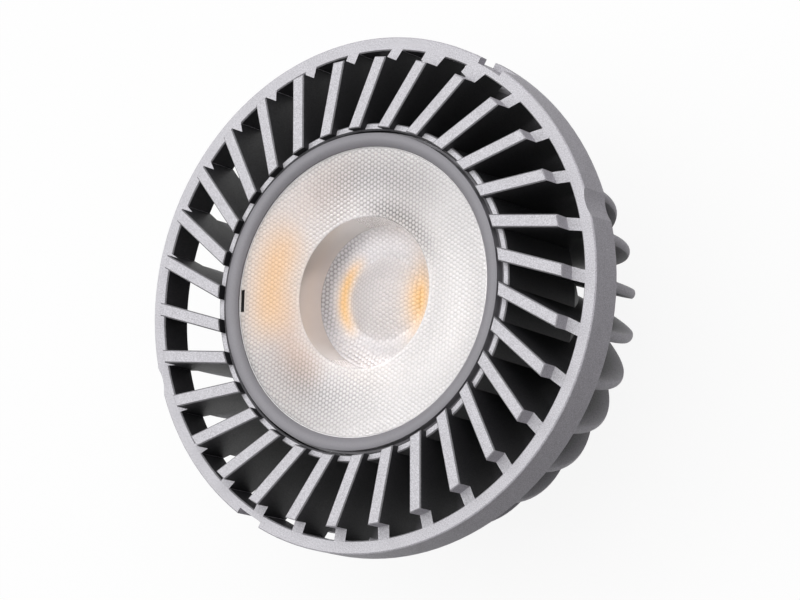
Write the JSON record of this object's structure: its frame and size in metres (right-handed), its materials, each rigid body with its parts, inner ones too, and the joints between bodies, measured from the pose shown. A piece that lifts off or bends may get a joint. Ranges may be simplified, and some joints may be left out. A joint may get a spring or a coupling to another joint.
{
  "type": "cob led module",
  "caption": "Round spotlight module: swirled cast fins in a bayonet ring round a COB light source with a pebbled collimating lens and a grey bezel.",
  "frame": {"origin": "centre of the flat back, on the optical axis", "axes": "+Z along the optical axis, the way the light leaves; +Y towards the first bayonet notch"},
  "size_m": [0.111, 0.111, 0.0592],
  "materials": {
    "cast_metal": "silver fine-grain coat on cast metal",
    "thermal_pad": "matt",
    "substrate": "matt white",
    "contact_metal": "gold plated",
    "dam": "white silicone",
    "phosphor": "orange-yellow phosphor in silicone",
    "holder_plastic": "matt white",
    "metallised_plastic": "moulded plastic metallised with a satin aluminium film",
    "screw_steel": "zinc plated",
    "lens": "clear acrylic with a pebbled face",
    "bezel": "satin grey",
    "bushing": "matt black"
  },
  "bodies": {
    "root": {"heat_sink": "cast_metal", "thermal_pad": "thermal_pad", "cob_substrate": "substrate", "cob_pads": "contact_metal", "cob_dam": "dam", "cob_phosphor": "phosphor", "cob_holder": "holder_plastic", "holder_contacts": "contact_metal", "holder_screws": "screw_steel", "lens_holder": "metallised_plastic", "lens": "lens", "bezel": "bezel", "lead_bushing": "bushing"}
  },
  "joints": []
}
